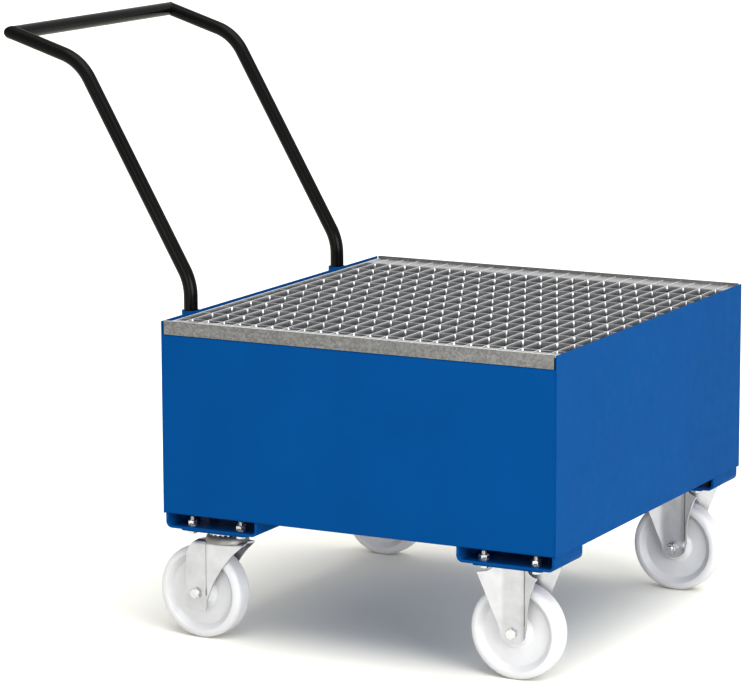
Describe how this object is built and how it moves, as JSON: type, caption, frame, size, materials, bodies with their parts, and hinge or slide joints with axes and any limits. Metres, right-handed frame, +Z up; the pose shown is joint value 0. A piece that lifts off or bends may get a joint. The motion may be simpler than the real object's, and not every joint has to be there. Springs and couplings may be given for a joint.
{
  "type": "drum dolly",
  "caption": "Open sheet-steel sump tray on fixed and swivel casters, with a lift-off steel grating deck and a plug-in push handle, for moving drums over a spill tray.",
  "frame": {"origin": "middle of the bounding box on the floor plane the wheels stand on", "axes": "+X along the dolly towards the end away from the handle, +Y to the left of a person pushing, +Z up"},
  "size_m": [1.235, 0.875, 1.1406],
  "materials": {
    "blue_paint": "semi-gloss powder coat on welded sheet steel",
    "black_paint": "glossy powder coat on bent steel tube",
    "galvanised_steel": "hot-dip galvanised, dull",
    "pressed_zinc": "zinc-plated pressed steel, satin",
    "bright_zinc": "bright zinc-plated fasteners",
    "bearing_steel": "ground steel",
    "white_polyamide": "cast polyamide, satin"
  },
  "bodies": {
    "tray": {"sump_trough": "blue_paint", "end_wall_front": "blue_paint", "end_wall_handle": "blue_paint", "handle_socket_left": "blue_paint", "handle_socket_right": "blue_paint", "mounting_washers": "bright_zinc", "caster_channel_front_left": "blue_paint", "caster_channel_front_right": "blue_paint", "caster_channel_rear_left": "blue_paint", "caster_channel_rear_right": "blue_paint", "mounting_bolts_front_left": "bright_zinc", "mounting_bolts_front_right": "bright_zinc", "mounting_bolts_rear_left": "bright_zinc", "mounting_bolts_rear_right": "bright_zinc", "mounting_nuts_front_left": "bright_zinc", "mounting_nuts_front_right": "bright_zinc", "mounting_nuts_rear_left": "bright_zinc", "mounting_nuts_rear_right": "bright_zinc", "fixed_fork_front_left": "pressed_zinc", "fixed_fork_front_right": "pressed_zinc", "axle_tube_front_left": "bearing_steel", "axle_tube_front_right": "bearing_steel", "axle_bolt_front_left": "bright_zinc", "axle_bolt_front_right": "bright_zinc", "axle_nut_front_left": "bright_zinc", "axle_nut_front_right": "bright_zinc", "swivel_plate_rear_left": "pressed_zinc", "swivel_plate_rear_right": "pressed_zinc", "king_pin_rear_left": "pressed_zinc", "king_pin_rear_right": "pressed_zinc"},
    "deck": {"bearing_bars": "galvanised_steel", "cross_bars": "galvanised_steel", "end_bands": "galvanised_steel", "edge_strip_left": "galvanised_steel", "edge_strip_right": "galvanised_steel"},
    "handle": {"handle_leg_left": "black_paint", "handle_leg_right": "black_paint", "handle_grip_bar": "black_paint"},
    "caster_fork_left": {"swivel_fork_rear_left": "pressed_zinc", "race_balls_rear_left": "bearing_steel", "axle_tube_rear_left": "bearing_steel", "axle_bolt_rear_left": "bright_zinc", "axle_nut_rear_left": "bright_zinc"},
    "caster_fork_right": {"swivel_fork_rear_right": "pressed_zinc", "race_balls_rear_right": "bearing_steel", "axle_tube_rear_right": "bearing_steel", "axle_bolt_rear_right": "bright_zinc", "axle_nut_rear_right": "bright_zinc"},
    "road_wheel_front_left": {"wheel_front_left": "white_polyamide", "wheel_bearing_front_left": "bearing_steel"},
    "road_wheel_front_right": {"wheel_front_right": "white_polyamide", "wheel_bearing_front_right": "bearing_steel"},
    "road_wheel_rear_left": {"wheel_rear_left": "white_polyamide", "wheel_bearing_rear_left": "bearing_steel"},
    "road_wheel_rear_right": {"wheel_rear_right": "white_polyamide", "wheel_bearing_rear_right": "bearing_steel"}
  },
  "joints": [
    {"name": "deck_lift", "type": "slide", "parent": "tray", "child": "deck", "axis": [0, 0, 1], "range_m": [0, 0.12]},
    {"name": "handle_lift", "type": "slide", "parent": "tray", "child": "handle", "axis": [0, 0, 1], "range_m": [0, 0.12]},
    {"name": "swivel_left", "type": "hinge", "parent": "tray", "child": "caster_fork_left", "pos_m": [-0.09549, 0.374, 0.2], "axis": [0, 0, 1], "continuous": true},
    {"name": "swivel_right", "type": "hinge", "parent": "tray", "child": "caster_fork_right", "pos_m": [-0.09549, -0.374, 0.2], "axis": [0, 0, 1], "continuous": true},
    {"name": "roll_front_left", "type": "hinge", "parent": "tray", "child": "road_wheel_front_left", "pos_m": [0.51551, 0.374, 0.09], "axis": [0, 1, 0], "continuous": true},
    {"name": "roll_front_right", "type": "hinge", "parent": "tray", "child": "road_wheel_front_right", "pos_m": [0.51551, -0.374, 0.09], "axis": [0, 1, 0], "continuous": true},
    {"name": "roll_rear_left", "type": "hinge", "parent": "caster_fork_left", "child": "road_wheel_rear_left", "pos_m": [-0.14642, 0.37667, 0.09], "axis": [0.0523, 0.9986, 0], "continuous": true},
    {"name": "roll_rear_right", "type": "hinge", "parent": "caster_fork_right", "child": "road_wheel_rear_right", "pos_m": [-0.14641, -0.37124, 0.09], "axis": [0.0541, 0.9985, 0], "continuous": true}
  ]
}
